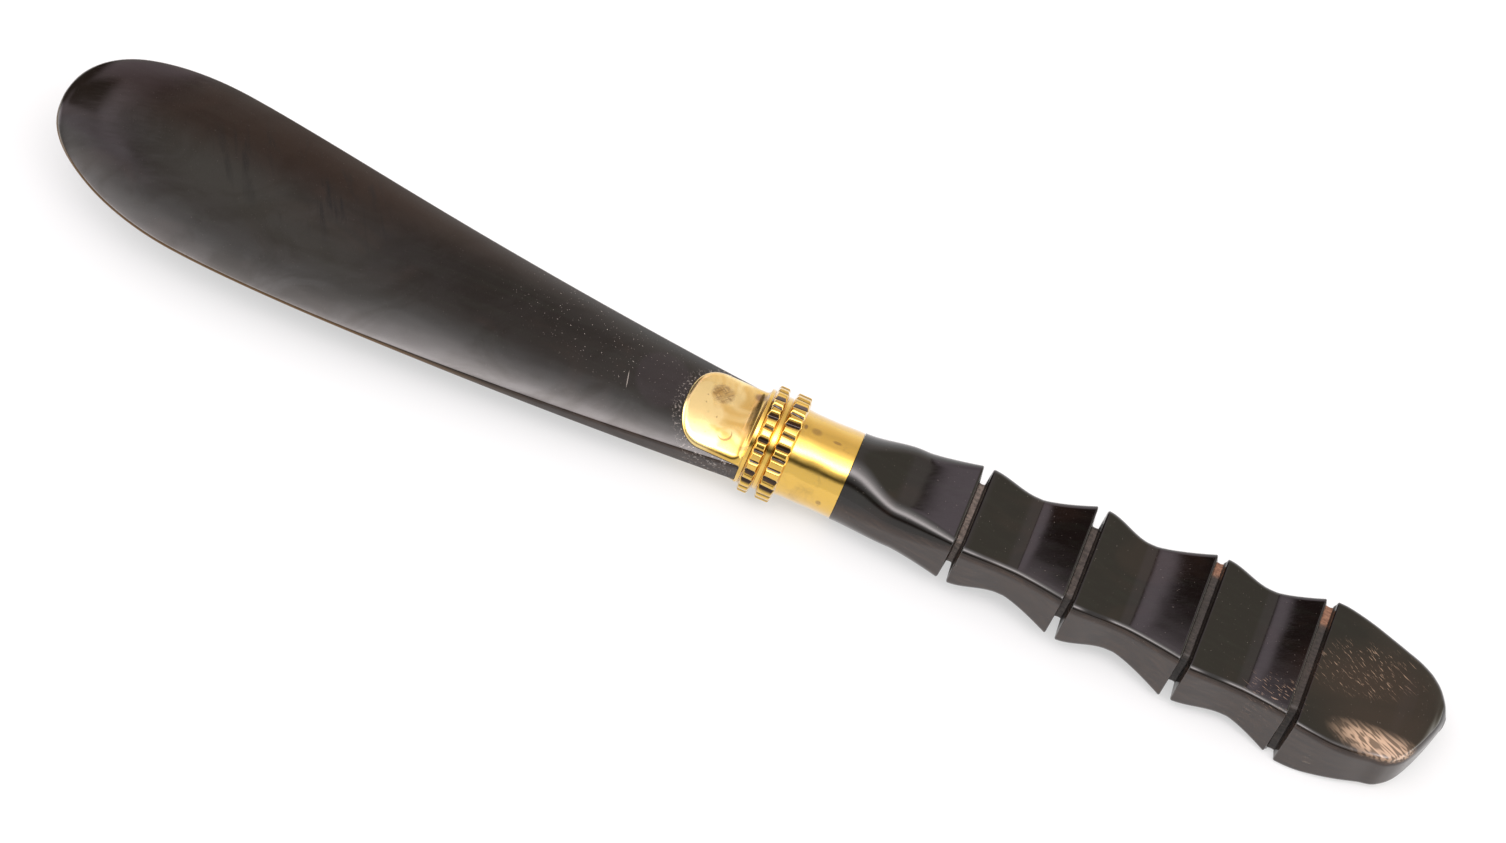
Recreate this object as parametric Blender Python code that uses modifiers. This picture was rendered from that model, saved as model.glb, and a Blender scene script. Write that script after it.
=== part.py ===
"""Paper knife of black horn: a paddle-shaped blade and a finger-notched handle in a brass ferrule.

The knife is laid out along its own axis, in millimetres: X = 0 is the blade's shoulder, the blade runs
to -X, the handle to +X, and Z is up out of the top face. The knife_frame empty then tips the whole knife
by REST_TILT, so that it stands on its rear milled ring and the flat under its butt, and centres it over
the world origin.
"""

import math

import bmesh
import bpy
from mathutils import Matrix, Vector

MM = 0.001
REST_TILT = math.radians(1.0)

# Blade. Distances called "reach" are measured from the tip.
BLADE_LENGTH = 126.4
BLADE_NOSE = 27.0
BLADE_NOSE_POWER = 1.0 / 2.3
BLADE_HALF_WIDTH = 16.95
BLADE_TAPER = 0.113
BLADE_TAPER_EASE = 25.0
BLADE_TIP_REACH = 0.03
RIM_THIN = 0.5
RIM_THICK = 3.9
RIM_THIN_REACH = 55.0
RIM_POWER = 1.5
# The crown's height as a share of the width, and the power of its curve: near the tip, then near the root.
CROWN_TIP = (0.072, 2.6)
CROWN_ROOT = (0.112, 2.5)
CROWN_CHANGE = (35.0, 85.0)
CROWN_BELOW = 0.33
# The sweep is the horn's natural curve, and the nose turns back from it a little.
BLADE_SWEEP = 4.35e-4
SWEEP_SIDEWAYS = 0.74
SWEEP_UPWARDS = 0.70
SWEEP_ORIGIN = (-0.25, -0.35)
NOSE_TURN = 0.85
NOSE_TURN_START = 117.0
TANG_LENGTH = 9.0
TANG_WIDTH = 12.3
TANG_THICK = 4.4

# Ferrule: a sleeve, two milled rings with a plain one between them, and the tongues in front.
SLEEVE_START = 0.80
SLEEVE_END = 17.0
SLEEVE_RADIUS = 7.63
SLEEVE_BORE = 6.83
SLEEVE_WAIST = 0.12
WAIST_SPAN = (8.5, 12.5)
RING_BORE = 7.68
RING_RADIUS = 9.37
RING_FRONT = (0.80, 3.10)
RING_REAR = (4.00, 7.00)
RING_FLANK = 0.42
RING_SHOULDER = 8.47
SPACER = (3.15, 3.95)
SPACER_RADIUS = 8.2
NOTCHES = 27
NOTCH_DEPTH = 0.60
DISC = (0.05, 0.75)
DISC_RADIUS = 8.35
TONGUE_LENGTH = 12.5
TONGUE_HALF_WIDTH = 7.75
TONGUE_NOSE = 5.2
TONGUE_RIM = 0.15
TONGUE_SWELL = 0.40
TONGUE_FILLET = 2.0
NOSE_POWER = 2.2
FILLET_SHARE = 0.8
GLUE = 0.05
LAY = 0.10

# Hidden core.
DOWEL_RADIUS = 1.2
DOWEL = (-5.5, 33.5)
CEMENT_RADIUS = 6.78

# Handle. Each segment: (x, width, thickness, centre height, corner radius) at left, neck and right.
HANDLE_START = 17.05
TENON_START = 10.0
TENON_WIDTH = 13.36
SEGMENTS = (
    ((HANDLE_START, 15.16, 15.16, 0.0, 7.35), (28.0, 17.0, 10.7, 0.85, 4.0), (37.15, 18.0, 11.8, 1.1, 2.0)),
    ((38.75, 18.4, 11.0, 1.1, 1.6), (48.2, 16.4, 8.1, 1.4, 1.4), (57.1, 20.7, 11.9, 1.2, 1.4)),
    ((58.85, 21.3, 11.4, 1.0, 1.4), (68.5, 18.2, 8.4, 0.65, 1.3), (78.5, 22.8, 13.1, 0.0, 1.3)),
    ((80.3, 23.6, 11.6, 0.1, 1.3), (89.9, 21.3, 9.5, -0.4, 1.3), (98.0, 24.8, 13.6, -0.88, 1.2)),
)
# Each kerf's floor: width, thickness, centre Y, centre Z and sideways lean. Its walls slope by KERF_LEAN.
KERFS = (
    (12.7, 7.2, 0.0, 1.4, 0.0),
    (15.0, 7.5, 0.0, 1.1, 0.0),
    (20.0, 8.9, 1.1, 0.1, 0.0),
    (21.6, 11.0, 0.4, -1.65, 0.22),
)
KERF_LEAN = 0.35
KERF_CORNER = 0.8
# Butt stations: x, width, top height, bottom height, centre Y and corner radius.
BUTT = (
    (99.9, 26.0, 5.4, -7.95, 0.0, 1.1),
    (101.9, 26.2, 5.1, -7.95, 0.0, 1.1),
    (104.0, 26.1, 4.6, -7.90, 0.0, 1.1),
    (107.0, 25.7, 3.8, -7.35, 0.0, 1.1),
    (110.5, 24.5, 3.1, -6.95, 0.0, 1.2),
    (114.0, 22.7, 2.6, -6.75, 0.1, 1.3),
    (117.2, 20.8, 2.5, -6.50, 0.0, 1.5),
    (119.8, 16.8, 2.4, -6.05, 0.55, 1.7),
    (121.8, 11.0, 2.0, -5.20, 1.7, 2.0),
    (123.1, 5.6, 1.3, -4.00, 2.5, 2.0),
    (123.7, 2.4, 0.3, -2.60, 2.8, 1.1),
)
FLAT_END = 104.0
# How far the top's middle stands above a flat top, on the segments and on the butt.
DOME_SEGMENT = 0.25
DOME_BUTT = 1.1
DOME_CHANGE = (100.0, 110.0)
DOME_FULL_WIDTH = 20.0
# A scallop eases down to its neck over NECK_EASE of the way, and rises from it with FLARE_POWER.
NECK_EASE = 0.90
FLARE_POWER = 1.3
TENON_ROUNDNESS = 0.97

# Every cutter runs CUT_PAST beyond the surface it opens.
CUT_PAST = 2.0
TURN_STEPS = 48
DOWEL_STEPS = 16
CORNER_STEPS = 3
SIDE_STEPS = 3
CROWN_POINTS = 9
SEGMENT_STATIONS = 4


def smoothstep(low, high, value):
    t = min(max((value - low) / (high - low), 0.0), 1.0)
    return t * t * (3.0 - 2.0 * t)


def mix(start, end, t):
    return start + (end - start) * t


# ---------------------------------------------------------------------------------------------
# Blade surface, shared by the blade and by the tongues that lie on it
# ---------------------------------------------------------------------------------------------


def blade_half_width(reach):
    """A full, nearly elliptical nose, then a taper that eases into a straight line."""
    if reach < BLADE_NOSE:
        return BLADE_HALF_WIDTH * (1.0 - (1.0 - reach / BLADE_NOSE) ** 2) ** BLADE_NOSE_POWER
    past = reach - BLADE_NOSE
    return BLADE_HALF_WIDTH - BLADE_TAPER * past * past / (past + BLADE_TAPER_EASE)


def rim_thickness(reach):
    past = max(reach - RIM_THIN_REACH, 0.0) / (BLADE_LENGTH - RIM_THIN_REACH)
    return mix(RIM_THIN, RIM_THICK, past**RIM_POWER)


def blade_centre(x):
    """Middle of a section: it sweeps sideways and upwards with the square of the distance."""
    run = -x
    nose = max(run - NOSE_TURN_START, 0.0) / (BLADE_LENGTH - NOSE_TURN_START)
    rise = BLADE_SWEEP * run * run - NOSE_TURN * nose * nose
    return SWEEP_ORIGIN[0] + SWEEP_SIDEWAYS * rise, SWEEP_ORIGIN[1] + SWEEP_UPWARDS * rise


def crown(reach):
    """(height of the top's crown, exponent of its curve) at a distance from the tip."""
    rooted = smoothstep(*CROWN_CHANGE, reach)
    share, power = (mix(tip, root, rooted) for tip, root in zip(CROWN_TIP, CROWN_ROOT))
    return 2.0 * blade_half_width(reach) * share, power


def blade_surface(x, y, side):
    """Height of the blade's top (side 1) or underside (side -1) at a point."""
    reach = BLADE_LENGTH + x
    centre_y, centre_z = blade_centre(x)
    height, power = crown(reach)
    if side < 0:
        height *= CROWN_BELOW
    across = min(abs(y - centre_y) / blade_half_width(reach), 1.0)
    return centre_z + side * (rim_thickness(reach) / 2.0 + height * (1.0 - across**power))


def blade_ring(x):
    centre_y, _ = blade_centre(x)
    half = blade_half_width(BLADE_LENGTH + x)
    across = [centre_y + half * (2.0 * i / (CROWN_POINTS - 1) - 1.0) for i in range(CROWN_POINTS)]
    top = [(x, y, blade_surface(x, y, 1)) for y in across]
    below = [(x, y, blade_surface(x, y, -1)) for y in reversed(across)]
    return top + below


def tang_ring(x):
    """A rectangle with as many points as a blade section, so that one loft can hold both."""
    across = [TANG_WIDTH * (i / (CROWN_POINTS - 1) - 0.5) for i in range(CROWN_POINTS)]
    top = [(x, y, TANG_THICK / 2.0) for y in across]
    below = [(x, y, -TANG_THICK / 2.0) for y in reversed(across)]
    return top + below


# ---------------------------------------------------------------------------------------------
# Handle sections
# ---------------------------------------------------------------------------------------------


def rest_height(x):
    """Height of the supporting plane: it touches the rear ring and is tipped by REST_TILT."""
    contact = (RING_REAR[0] + RING_REAR[1]) / 2.0
    return -RING_RADIUS / math.cos(REST_TILT) + (x - contact) * math.tan(REST_TILT)


def section(x, width, thick, centre_y, centre_z, radius, dome=0.0, lean=0.0, floor=None):
    """A rectangle with round corners. dome raises its top's middle, and nothing reaches below floor."""
    ring = []
    half_y, half_z = width / 2.0, thick / 2.0
    corners = [(1, 1), (-1, 1), (-1, -1), (1, -1)]
    for number, (side_y, side_z) in enumerate(corners):
        middle = Vector((side_y * (half_y - radius), side_z * (half_z - radius)))
        arc = []
        for i in range(CORNER_STEPS + 1):
            turn = math.radians(90.0 * (number + i / CORNER_STEPS))
            arc.append(middle + radius * Vector((math.cos(turn), math.sin(turn))))
        next_y, next_z = corners[(number + 1) % 4]
        turn = math.radians(90.0 * (number + 1))
        start = Vector((next_y * (half_y - radius), next_z * (half_z - radius)))
        start += radius * Vector((math.cos(turn), math.sin(turn)))
        straight = [arc[-1].lerp(start, i / SIDE_STEPS) for i in range(1, SIDE_STEPS)]
        ring += arc + straight
    points = []
    for y, z in ring:
        if z > 0.0:
            z += dome * max(1.0 - (y / half_y) ** 2, 0.0)
        y += lean * z
        z += centre_z
        if floor is not None:
            z = max(z, floor)
        points.append((x, centre_y + y, z))
    return points


def segment_rings(segment):
    """A finger scallop: it eases down to its neck, then flares up to its right-hand end."""
    left, neck, right = segment
    rings = []
    for start, end in ((left, neck), (neck, right)):
        for i in range(0 if start is left else 1, SEGMENT_STATIONS + 1):
            t = i / SEGMENT_STATIONS
            blend = smoothstep(0.0, NECK_EASE, t) if start is left else t**FLARE_POWER
            width, thick, centre_z, radius = (mix(start[k], end[k], blend) for k in (1, 2, 3, 4))
            x = mix(start[0], end[0], t)
            rings.append(section(x, width, thick, 0.0, centre_z, radius, DOME_SEGMENT))
    return rings


def butt_rings():
    rings = []
    for x, width, top, bottom, centre_y, radius in BUTT:
        floor = rest_height(x) if x <= FLAT_END else None
        dome = mix(DOME_SEGMENT, DOME_BUTT, smoothstep(*DOME_CHANGE, x))
        dome *= min(width / DOME_FULL_WIDTH, 1.0)
        centre_z = (top + bottom) / 2.0
        rings.append(section(x, width, top - bottom, centre_y, centre_z, radius, dome, 0.0, floor))
    return rings


def handle_rings():
    corner = TENON_ROUNDNESS * TENON_WIDTH / 2.0
    tenon = (TENON_START, HANDLE_START)
    rings = [section(x, TENON_WIDTH, TENON_WIDTH, 0.0, 0.0, corner) for x in tenon]
    ends = [segment[0][0] for segment in SEGMENTS[1:]] + [BUTT[0][0]]
    for segment, kerf, after in zip(SEGMENTS, KERFS, ends):
        rings += segment_rings(segment)
        width, thick, centre_y, centre_z, lean = kerf
        for x in (segment[2][0] + KERF_LEAN, after - KERF_LEAN):
            rings.append(section(x, width, thick, centre_y, centre_z, KERF_CORNER, 0.0, lean))
    return rings + butt_rings()


# ---------------------------------------------------------------------------------------------
# Blender helpers
# ---------------------------------------------------------------------------------------------


def clear_scene():
    for obj in list(bpy.data.objects):
        bpy.data.objects.remove(obj, do_unlink=True)


def new_collection(name):
    collection = bpy.data.collections.new(name)
    bpy.context.scene.collection.children.link(collection)
    return collection


def new_material(name, colour, roughness, metallic):
    material = bpy.data.materials.new(name)
    material.use_nodes = True
    shader = material.node_tree.nodes["Principled BSDF"]
    shader.inputs["Base Color"].default_value = (*colour, 1.0)
    shader.inputs["Roughness"].default_value = roughness
    shader.inputs["Metallic"].default_value = metallic
    return material


def object_from(name, bm, collection, material=None):
    mesh = bpy.data.meshes.new(name)
    bm.to_mesh(mesh)
    bm.free()
    obj = bpy.data.objects.new(name, mesh)
    if material:
        mesh.materials.append(material)
    collection.objects.link(obj)
    return obj


def loft(name, rings, collection, material=None):
    """A closed solid through a row of sections that all have the same number of points."""
    bm = bmesh.new()
    rows = [[bm.verts.new(Vector(point) * MM) for point in ring] for ring in rings]
    for row, following in zip(rows, rows[1:]):
        for i, vert in enumerate(row):
            j = (i + 1) % len(row)
            bm.faces.new((vert, row[j], following[j], following[i]))
    bm.faces.new(rows[0])
    bm.faces.new(rows[-1])
    bmesh.ops.recalc_face_normals(bm, faces=bm.faces)
    return object_from(name, bm, collection, material)


def turned(name, profile, collection, material):
    """A solid turned about the knife's axis from a closed profile of (radius, x) points."""
    bm = bmesh.new()
    verts = [bm.verts.new((radius * MM, 0.0, x * MM)) for radius, x in profile]
    for vert, following in zip(verts, verts[1:] + verts[:1]):
        bm.edges.new((vert, following))
    obj = object_from(name, bm, collection, material)
    obj.rotation_euler = (0.0, math.pi / 2.0, 0.0)
    screw = obj.modifiers.new("Turn", "SCREW")
    screw.axis = "Z"
    screw.steps = screw.render_steps = TURN_STEPS
    screw.use_merge_vertices = True
    screw.merge_threshold = 1e-6
    return obj


def rod(name, radius, start, end, segments, collection, material=None):
    """A plain cylinder along the knife's axis."""
    bm = bmesh.new()
    place = Matrix.Translation(((start + end) / 2.0 * MM, 0.0, 0.0))
    place @= Matrix.Rotation(math.pi / 2.0, 4, "Y")
    bmesh.ops.create_cone(
        bm,
        cap_ends=True,
        segments=segments,
        radius1=radius * MM,
        radius2=radius * MM,
        depth=(end - start) * MM,
        matrix=place,
    )
    return object_from(name, bm, collection, material)


def tang_box(name, reach, gap, collection):
    """A block round the tang, which reaches as far before the shoulder as behind it."""
    bm = bmesh.new()
    size = Vector((2.0 * reach, TANG_WIDTH + 2.0 * gap, TANG_THICK + 2.0 * gap)) * MM
    bmesh.ops.create_cube(bm, size=1.0, matrix=Matrix.Diagonal((*size, 1.0)))
    return object_from(name, bm, collection)


def boolean(obj, other, operation):
    modifier = obj.modifiers.new(f"{operation.title()} {other.name}", "BOOLEAN")
    modifier.operation = operation
    modifier.solver = "EXACT"
    modifier.object = other
    other.hide_render = True
    other.display_type = "WIRE"


# ---------------------------------------------------------------------------------------------
# Parts
# ---------------------------------------------------------------------------------------------


def dowel_hole(name, start, end, cutters):
    return rod(name, DOWEL_RADIUS + GLUE, start, end, DOWEL_STEPS, cutters)


def make_blade(parts, cutters, horn):
    """Paddle blade with a crowned top, a thin rim at the tip and a square tang behind the shoulder."""
    nose = [BLADE_NOSE * (1.0 - math.cos(math.radians(angle))) for angle in range(12, 90, 13)]
    taper = [BLADE_NOSE + (BLADE_LENGTH - BLADE_NOSE) * i / 13 for i in range(14)]
    rings = [blade_ring(reach - BLADE_LENGTH) for reach in [BLADE_TIP_REACH, 0.2] + nose + taper]
    rings += [tang_ring(0.0), tang_ring(TANG_LENGTH)]
    blade = loft("horn_blade", rings, parts, horn)
    hole = dowel_hole("blade_dowel_hole", DOWEL[0] - GLUE, TANG_LENGTH + CUT_PAST, cutters)
    boolean(blade, hole, "DIFFERENCE")


def make_handle(parts, cutters, horn):
    """One piece of horn: a round tenon, four scalloped segments between saw kerfs, and a butt."""
    handle = loft("horn_handle", handle_rings(), parts, horn)
    hole = dowel_hole("handle_dowel_hole", TENON_START - CUT_PAST, DOWEL[1] + GLUE, cutters)
    boolean(handle, hole, "DIFFERENCE")


def make_sleeve(parts, brass):
    """Thin tube with a slight waist, which covers the joint."""
    waist = SLEEVE_RADIUS - SLEEVE_WAIST
    outer = [
        (SLEEVE_RADIUS, SLEEVE_END),
        (waist, WAIST_SPAN[1]),
        (waist, WAIST_SPAN[0]),
        (SLEEVE_RADIUS, RING_REAR[1]),
        (SLEEVE_RADIUS, SLEEVE_START),
    ]
    bore = [(SLEEVE_BORE, SLEEVE_START), (SLEEVE_BORE, SLEEVE_END)]
    turned("ferrule_sleeve", outer + bore, parts, brass)


def notch_cutter(name, span, cutters):
    """Square bars laid on edge across the ring's crest, one for each filed notch."""
    bm = bmesh.new()
    side = NOTCH_DEPTH * 2.0
    length = span[1] - span[0] + 2.0 * CUT_PAST
    height = RING_RADIUS - NOTCH_DEPTH + side / math.sqrt(2.0)
    on_edge = Matrix.Rotation(math.pi / 4.0, 4, "X")
    on_edge @= Matrix.Diagonal((length * MM, side * MM, side * MM, 1.0))
    out = Matrix.Translation(((span[0] + span[1]) / 2.0 * MM, 0.0, height * MM))
    for i in range(NOTCHES):
        around = Matrix.Rotation(2.0 * math.pi * (i + 0.5) / NOTCHES, 4, "X")
        bmesh.ops.create_cube(bm, size=1.0, matrix=around @ out @ on_edge)
    return object_from(name, bm, cutters)


def make_ring(name, span, parts, cutters, brass):
    """Milled ring: a turned band with sloping flanks, notched all round its crest."""
    profile = [
        (RING_SHOULDER, span[1]),
        (RING_RADIUS, span[1] - RING_FLANK),
        (RING_RADIUS, span[0] + RING_FLANK),
        (RING_SHOULDER, span[0]),
        (RING_BORE, span[0]),
        (RING_BORE, span[1]),
    ]
    ring = turned(name, profile, parts, brass)
    boolean(ring, notch_cutter(f"{name}_notches", span, cutters), "DIFFERENCE")


def make_spacer(parts, brass):
    start, end = SPACER
    profile = [(SPACER_RADIUS, end), (SPACER_RADIUS, start), (RING_BORE, start), (RING_BORE, end)]
    turned("spacer_ring", profile, parts, brass)


def tongue_ring(x, side):
    """Section of a tongue: it lies on the blade, swells in the middle and sweeps up to the disc."""
    nose_x = TONGUE_NOSE - TONGUE_LENGTH
    half = TONGUE_HALF_WIDTH
    if x < nose_x:
        half *= (1.0 - ((nose_x - x) / TONGUE_NOSE) ** NOSE_POWER) ** (1.0 / NOSE_POWER)
    ease = max(x + TONGUE_FILLET, 0.0)
    fillet = TONGUE_FILLET - math.sqrt(TONGUE_FILLET**2 - min(ease, TONGUE_FILLET) ** 2)
    centre_y, _ = blade_centre(min(x, 0.0))
    outer, inner = [], []
    for i in range(CROWN_POINTS):
        across = -math.cos(math.pi * i / (CROWN_POINTS - 1))
        y = centre_y + half * across
        height = TONGUE_SWELL + FILLET_SHARE * fillet
        swell = TONGUE_RIM + height * math.sqrt(max(1.0 - across**4, 0.0))
        surface = blade_surface(min(x, 0.0), y, side)
        outer.append((x, y, surface + side * (LAY + swell)))
        inner.append((x, y, surface + side * LAY))
    return outer + inner[::-1]


def make_tongues(parts, cutters, brass):
    """A disc behind the blade's shoulder, slotted for the tang, with a tongue over each face."""
    yoke = rod("tongue_yoke", DISC_RADIUS, DISC[0], DISC[1], TURN_STEPS, parts, brass)
    nose = [-TONGUE_LENGTH + offset for offset in (0.04, 0.35, 1.0, 2.1, 3.5, TONGUE_NOSE)]
    body = [-5.0, -2.0, -1.4, -0.8, -0.3, 0.0, 0.4]
    for label, side in (("upper", 1), ("lower", -1)):
        tongue = loft(f"{label}_tongue", [tongue_ring(x, side) for x in nose + body], cutters)
        boolean(yoke, tongue, "UNION")
    slot = tang_box("tang_slot", 2.0 * CUT_PAST, LAY, cutters)
    boolean(yoke, slot, "DIFFERENCE")


def make_core(parts, cutters, steel, cement):
    """What holds it together inside: a dowel through the joint, bedded in cement around the tang."""
    rod("dowel_rod", DOWEL_RADIUS, DOWEL[0], DOWEL[1], DOWEL_STEPS, parts, steel)
    end = TENON_START - GLUE
    fill = rod("cement_fill", CEMENT_RADIUS, SLEEVE_START, end, TURN_STEPS, parts, cement)
    pocket = tang_box("tang_pocket", TANG_LENGTH + GLUE, GLUE, cutters)
    boolean(fill, pocket, "DIFFERENCE")
    hole = dowel_hole("fill_dowel_hole", TANG_LENGTH - CUT_PAST, end + CUT_PAST, cutters)
    boolean(fill, hole, "DIFFERENCE")


def world_bounds(objects):
    """Lowest and highest corners of the finished shapes in world space."""
    bpy.context.view_layer.update()
    graph = bpy.context.evaluated_depsgraph_get()
    points = []
    for obj in objects:
        shape = obj.evaluated_get(graph)
        mesh = shape.to_mesh()
        points += [shape.matrix_world @ vert.co for vert in mesh.vertices]
        shape.to_mesh_clear()
    low = Vector(min(point[k] for point in points) for k in range(3))
    high = Vector(max(point[k] for point in points) for k in range(3))
    return low, high


def set_down(parts, cutters):
    """Tips the knife onto its ring and butt, and centres its box over the origin."""
    frame = bpy.data.objects.new("knife_frame", None)
    parts.objects.link(frame)
    for obj in list(parts.objects) + list(cutters.objects):
        if obj is not frame:
            obj.parent = frame
    frame.rotation_euler = (0.0, REST_TILT, 0.0)
    low, high = world_bounds([obj for obj in parts.objects if obj is not frame])
    frame.location = (-(low.x + high.x) / 2.0, -(low.y + high.y) / 2.0, -low.z)


def smooth_turned(parts):
    for name in ("ferrule_sleeve", "spacer_ring", "dowel_rod"):
        mesh = parts.objects[name].data
        mesh.shade_smooth()
        mesh.set_sharp_from_angle(angle=math.radians(35.0))


def main():
    clear_scene()
    parts = new_collection("horn_paper_knife")
    cutters = new_collection("cutters")
    cutters.hide_render = True
    horn = new_material("black_horn", (0.022, 0.018, 0.015), 0.18, 0.0)
    brass = new_material("polished_brass", (0.83, 0.58, 0.22), 0.16, 1.0)
    steel = new_material("steel_rod", (0.45, 0.45, 0.46), 0.4, 1.0)
    cement = new_material("cutlers_cement", (0.12, 0.06, 0.03), 0.7, 0.0)
    make_blade(parts, cutters, horn)
    make_handle(parts, cutters, horn)
    make_sleeve(parts, brass)
    make_ring("milled_ring_front", RING_FRONT, parts, cutters, brass)
    make_ring("milled_ring_rear", RING_REAR, parts, cutters, brass)
    make_spacer(parts, brass)
    make_tongues(parts, cutters, brass)
    make_core(parts, cutters, steel, cement)
    smooth_turned(parts)
    set_down(parts, cutters)


main()
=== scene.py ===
"""Looks of the black horn paper knife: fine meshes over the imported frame, their materials, and the studio.

The knife is worked out along its own axis in millimetres, as in the CAD: X = 0 is the blade's shoulder, the
blade runs to -X, the handle to +X, and Z is up out of the top face. knife_to_world turns that into the
frame's metres.
"""

import math

import bmesh
import bpy
import numpy as np
from mathutils import Matrix, Vector


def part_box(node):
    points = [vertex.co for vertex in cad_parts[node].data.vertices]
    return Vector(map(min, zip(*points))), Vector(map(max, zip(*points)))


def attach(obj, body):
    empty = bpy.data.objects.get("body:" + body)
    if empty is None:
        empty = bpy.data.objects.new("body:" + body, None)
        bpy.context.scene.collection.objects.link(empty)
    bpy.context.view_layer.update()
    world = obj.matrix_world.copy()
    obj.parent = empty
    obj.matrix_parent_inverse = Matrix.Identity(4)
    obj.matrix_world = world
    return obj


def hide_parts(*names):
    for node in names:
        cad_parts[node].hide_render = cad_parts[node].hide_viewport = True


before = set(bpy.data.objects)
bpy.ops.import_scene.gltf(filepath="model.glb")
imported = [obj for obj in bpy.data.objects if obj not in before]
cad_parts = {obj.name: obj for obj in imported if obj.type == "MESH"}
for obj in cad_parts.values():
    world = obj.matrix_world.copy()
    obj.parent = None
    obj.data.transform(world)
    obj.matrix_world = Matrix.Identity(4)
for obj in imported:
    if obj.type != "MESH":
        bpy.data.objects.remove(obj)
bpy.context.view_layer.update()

MM = 0.001
REST_TILT = math.radians(1.0)

# Blade. Distances called "reach" are measured from the tip.
BLADE_LENGTH = 126.4
BLADE_NOSE = 27.0
BLADE_NOSE_POWER = 1.0 / 2.3
BLADE_HALF_WIDTH = 16.95
BLADE_TAPER = 0.113
BLADE_TAPER_EASE = 25.0
RIM_THIN = 0.5
RIM_THICK = 3.9
RIM_THIN_REACH = 55.0
RIM_POWER = 1.5
RIM_ROUND_IN = 0.36
RIM_ROUND_DOWN = 0.40
# The crown's height as a share of the blade's width, and the power of its curve.
CROWN_TIP = (0.072, 2.6)
CROWN_ROOT = (0.112, 2.5)
CROWN_CHANGE = (35.0, 85.0)
CROWN_BELOW = 0.33
BLADE_SWEEP = 4.35e-4
SWEEP_SIDEWAYS = 0.74
SWEEP_UPWARDS = 0.70
SWEEP_ORIGIN = (-0.25, -0.35)
NOSE_TURN = (0.85, 0.50)
NOSE_TURN_START = 117.0
# Length, width and thickness.
TANG = (9.0, 12.3, 4.4)

# Ferrule. A pair is where something starts and ends along X.
SLEEVE = (0.80, 17.0)
SLEEVE_RADIUS = 7.63
SLEEVE_BORE = 6.83
SLEEVE_WORN = 0.12
SLEEVE_WORN_SPAN = ((6.8, 9.0), (17.0, 12.0))
SLEEVE_WAVE_SPAN = ((7.0, 8.0), (16.9, 15.5))
RING_BORE = 7.68
RING_RADIUS = 9.37
RING_FRONT = (0.80, 3.10)
RING_REAR = (4.00, 7.00)
RING_SHOULDER = 8.47
SPACER = (3.15, 3.95)
SPACER_RADIUS = 8.2
DISC = (0.05, 0.75)
DISC_RADIUS = 8.35
TONGUE_LENGTH = 12.5
TONGUE_HALF_WIDTH = 7.75
TONGUE_NOSE = 5.2
TONGUE_NOSE_POWER = 2.2
TONGUE_FILLET = 2.0
TONGUE_EDGE = 0.10
TONGUE_RISE = 0.58
TONGUE_ROUNDING = 1.25
TONGUE_GAP = 0.06
# Notches in one ring, and the limits within which their places, depths, tilts and slopes vary.
NOTCHES = 27
NOTCH_SCATTER = 0.9
NOTCH_DEPTHS = (0.42, 0.80)
NOTCH_TILT = 0.10
NOTCH_SLOPES = (0.70, 1.05)
# Height of each wave on the sleeve, its turns round the axis, and its phase per millimetre along it.
SLEEVE_WAVES = ((0.018, 3.0, 0.5), (0.012, 7.0, -0.9))

# Handle. Each segment: (x, width, thickness, centre height, corner radius) at left, neck and right.
HANDLE_START = 17.05
TENON_START = 10.0
TENON_WIDTH = 13.36
SEGMENTS = (
    ((HANDLE_START, 15.16, 15.16, 0.0, 7.35), (28.0, 17.0, 10.7, 0.85, 4.0), (37.15, 18.0, 11.8, 1.1, 2.0)),
    ((38.75, 18.4, 11.0, 1.1, 1.6), (48.2, 16.4, 8.1, 1.4, 1.4), (57.1, 20.7, 11.9, 1.2, 1.4)),
    ((58.85, 21.3, 11.4, 1.0, 1.4), (68.5, 18.2, 8.4, 0.65, 1.3), (78.5, 22.8, 13.1, 0.0, 1.3)),
    ((80.3, 23.6, 11.6, 0.1, 1.3), (89.9, 21.3, 9.5, -0.4, 1.3), (98.0, 24.8, 13.6, -0.88, 1.2)),
)
# The core left in each kerf: width, thickness, centre y, centre height, and how far it leans with height.
KERFS = (
    (12.7, 7.2, 0.0, 1.4, 0.0),
    (15.0, 7.5, 0.0, 1.1, 0.0),
    (20.0, 8.9, 1.1, 0.1, 0.0),
    (21.6, 11.0, 0.4, -1.65, 0.22),
)
# Dust in each kerf: its density, and the width of the tan strip at its far end, below 0 for none.
KERF_DUST = ((1.0, -3.0), (0.45, -3.0), (0.20, 3.2), (0.20, 3.4))
KERF_SLANT = 0.35
KERF_CORNER = 0.8
KERF_DIP = 0.12
KERF_FLARE = (0.06, 0.4)
# The lips at both sides of a kerf are rounded, with their own rows, and the even rows start further in.
LIP = 0.32
LIP_SPAN = 0.45
EVEN_START = 0.6
SEGMENT_STEPS = 62
BUTT_STEPS = 74
FLAT_END = 107.0
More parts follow.
